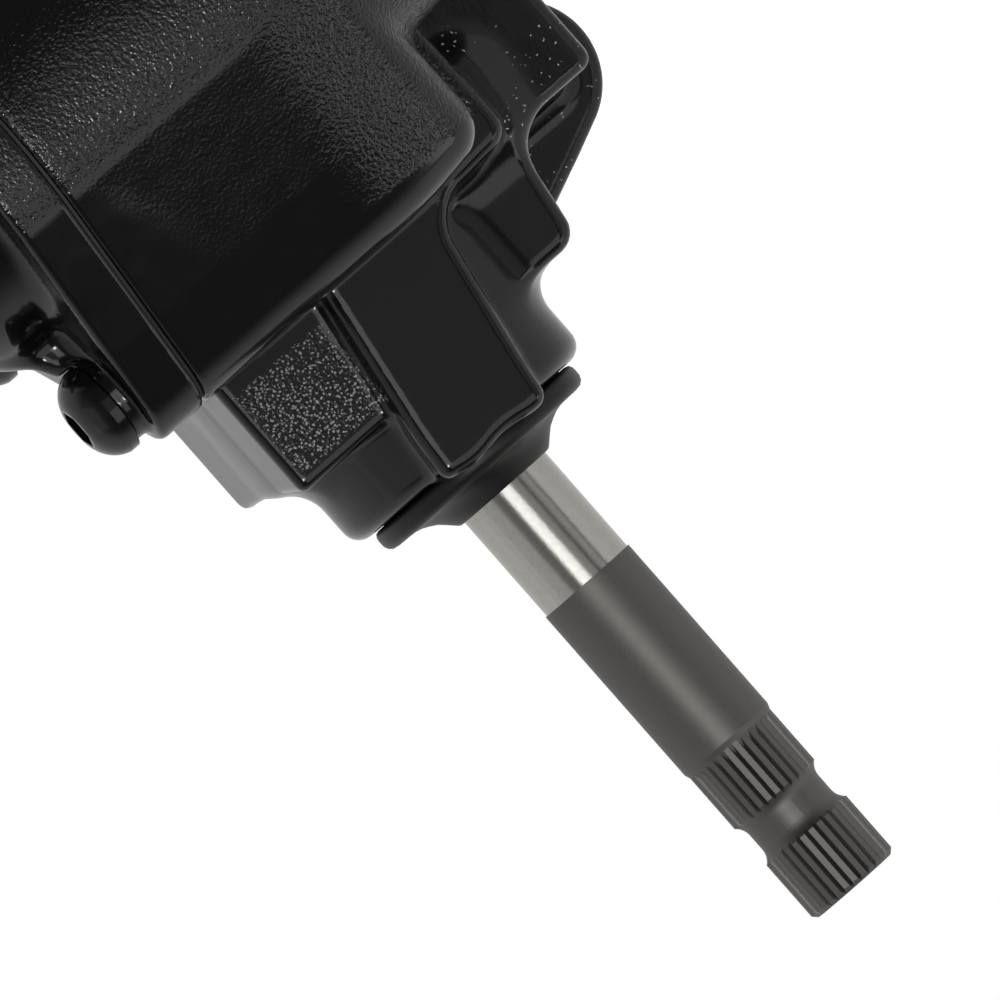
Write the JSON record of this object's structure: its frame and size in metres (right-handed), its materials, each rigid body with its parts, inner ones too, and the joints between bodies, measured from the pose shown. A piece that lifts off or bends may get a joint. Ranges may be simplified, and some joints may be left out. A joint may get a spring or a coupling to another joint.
{
  "type": "steering gearbox",
  "caption": "Integral power steering gearbox: worm, recirculating balls, rack piston and sector in a black cast housing with a domed side cover, rotary valve and serrated input shaft.",
  "frame": {"origin": "middle of the four mounting holes, on the flat mounting face", "axes": "+X along the input shaft towards its tip; +Y out of the mounting face towards the sector shaft; +Z along the sector shaft towards the side cover"},
  "size_m": [0.2862, 0.1385, 0.22],
  "materials": {
    "black_paint": "gloss",
    "painted_screw": "gloss",
    "phosphate_steel": "matte",
    "ground_steel": "satin",
    "zinc_steel": "satin",
    "black_rubber": "satin",
    "brass": "satin",
    "ptfe": "matte",
    "bronze": "satin",
    "gasket_paper": "matte"
  },
  "bodies": {
    "housing": {"housing": "black_paint", "side_cover": "black_paint", "cover_gasket": "gasket_paper", "cover_screws": "painted_screw", "cover_bush": "bronze", "adjuster_screw": "zinc_steel", "adjuster_locknut": "zinc_steel", "output_bearing_cup": "ground_steel", "output_rollers": "ground_steel", "output_seal": "black_rubber", "backup_washer": "zinc_steel", "output_retaining_ring": "phosphate_steel", "output_dust_seal": "black_rubber", "lower_thrust_race": "ground_steel", "lower_thrust_needles": "ground_steel", "upper_thrust_needles": "ground_steel", "upper_thrust_race": "ground_steel", "bearing_retainer": "zinc_steel", "retainer_seal": "black_rubber", "input_bearing": "ground_steel", "input_seal": "black_rubber", "end_plug": "zinc_steel", "end_plug_seal": "black_rubber", "end_retaining_ring": "phosphate_steel", "port_seats": "brass"},
    "worm": {"worm": "ground_steel", "valve_sleeve": "ground_steel", "sleeve_rings": "ptfe", "sleeve_pin": "ground_steel"},
    "input_shaft": {"input_shaft": "phosphate_steel", "torsion_bar": "ground_steel", "torsion_pin": "ground_steel", "dust_boot": "black_rubber"},
    "rack_piston": {"rack_piston": "ground_steel", "piston_plug": "zinc_steel", "piston_ring": "ptfe", "ring_expander": "black_rubber", "balls": "ground_steel", "ball_guides": "zinc_steel", "guide_clamp": "zinc_steel", "clamp_screws": "zinc_steel"},
    "sector_shaft": {"sector_shaft": "ground_steel", "lock_washer": "zinc_steel", "output_nut": "zinc_steel"}
  },
  "joints": [
    {"name": "worm_turn", "type": "hinge", "parent": "housing", "child": "worm", "pos_m": [0, 0.05, 0.021], "axis": [1, 0, 0], "range_deg": [-576.05, 576.05]},
    {"name": "input_twist", "type": "hinge", "parent": "worm", "child": "input_shaft", "pos_m": [0, 0.05, 0.021], "axis": [1, 0, 0], "range_deg": [-7, 7], "stiffness_Nm_per_rad": 2},
    {"name": "rack_slide", "type": "slide", "parent": "housing", "child": "rack_piston", "axis": [1, 0, 0], "range_m": [-0.016, 0.016]},
    {"name": "sector_swing", "type": "hinge", "parent": "housing", "child": "sector_shaft", "pos_m": [0, 0.1005, 0.021], "axis": [0, 0, 1], "range_deg": [-33.96, 33.96]}
  ],
  "couplings": [
    {"joint": "worm_turn", "follows": "rack_slide", "rad_per_m": -628.32},
    {"joint": "sector_swing", "follows": "rack_slide", "rad_per_m": 37.037}
  ]
}
